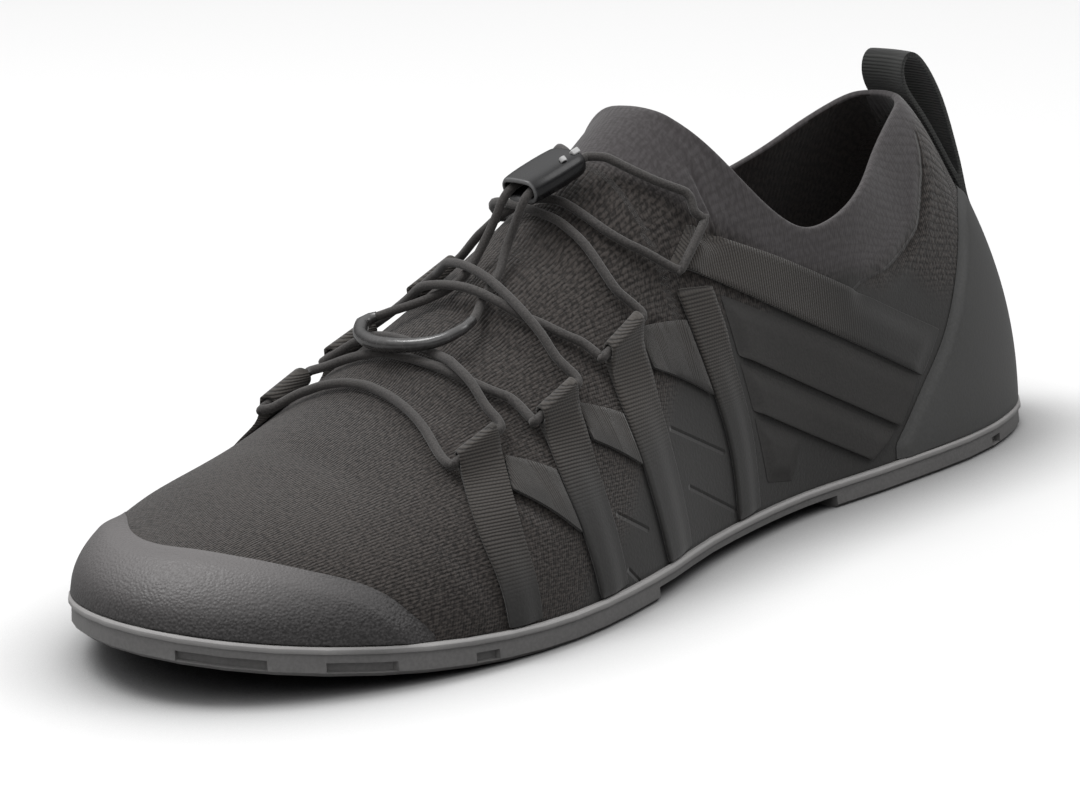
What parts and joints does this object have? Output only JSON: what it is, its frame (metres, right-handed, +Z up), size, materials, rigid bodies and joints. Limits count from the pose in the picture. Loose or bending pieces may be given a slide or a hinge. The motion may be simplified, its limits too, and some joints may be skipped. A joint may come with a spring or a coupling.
{
  "type": "barefoot shoe",
  "caption": "Low right barefoot shoe with a knit sock upper, webbing lace loops, an elastic lace with a cord lock, a rubber toe cap and a thin flexible rubber sole",
  "frame": {"origin": "On the floor under the middle of the sole outline's box; the floor is z = 0", "axes": "+X from heel to toe, +Y to the medial (big-toe) side of this right shoe, +Z up"},
  "size_m": [0.2849, 0.1064, 0.0986],
  "materials": {
    "sole_rubber": "satin moulded",
    "knit": "ribbed knit",
    "liner": "brushed",
    "cap_rubber": "pebbled matt",
    "counter_film": "smooth matt",
    "webbing": "woven, fine cross ribs",
    "side_film": "smooth matt film",
    "cord": "braided elastic cord",
    "lock_plastic": "gloss moulded",
    "sleeve_plastic": "satin"
  },
  "bodies": {
    "root": {"outsole": "sole_rubber", "upper": "knit", "insole": "liner", "toe_cap": "cap_rubber", "heel_counter": "counter_film", "loop_medial_1": "webbing", "loop_medial_2": "webbing", "loop_medial_3": "webbing", "loop_medial_4": "webbing", "fan_medial_1": "side_film", "fan_medial_2": "side_film", "fan_medial_3": "side_film", "upright_medial": "webbing", "rear_panel_medial_1": "side_film", "rear_panel_medial_2": "side_film", "rear_panel_medial_3": "side_film", "loop_lateral_1": "webbing", "loop_lateral_2": "webbing", "loop_lateral_3": "webbing", "loop_lateral_4": "webbing", "fan_lateral_1": "side_film", "fan_lateral_2": "side_film", "fan_lateral_3": "side_film", "upright_lateral": "webbing", "rear_panel_lateral_1": "side_film", "rear_panel_lateral_2": "side_film", "rear_panel_lateral_3": "side_film", "pull_loop": "webbing", "cord_lock": "lock_plastic", "lace": "cord", "lace_end_lateral": "cord", "lace_end_medial": "cord", "end_sleeve": "sleeve_plastic"}
  },
  "joints": []
}
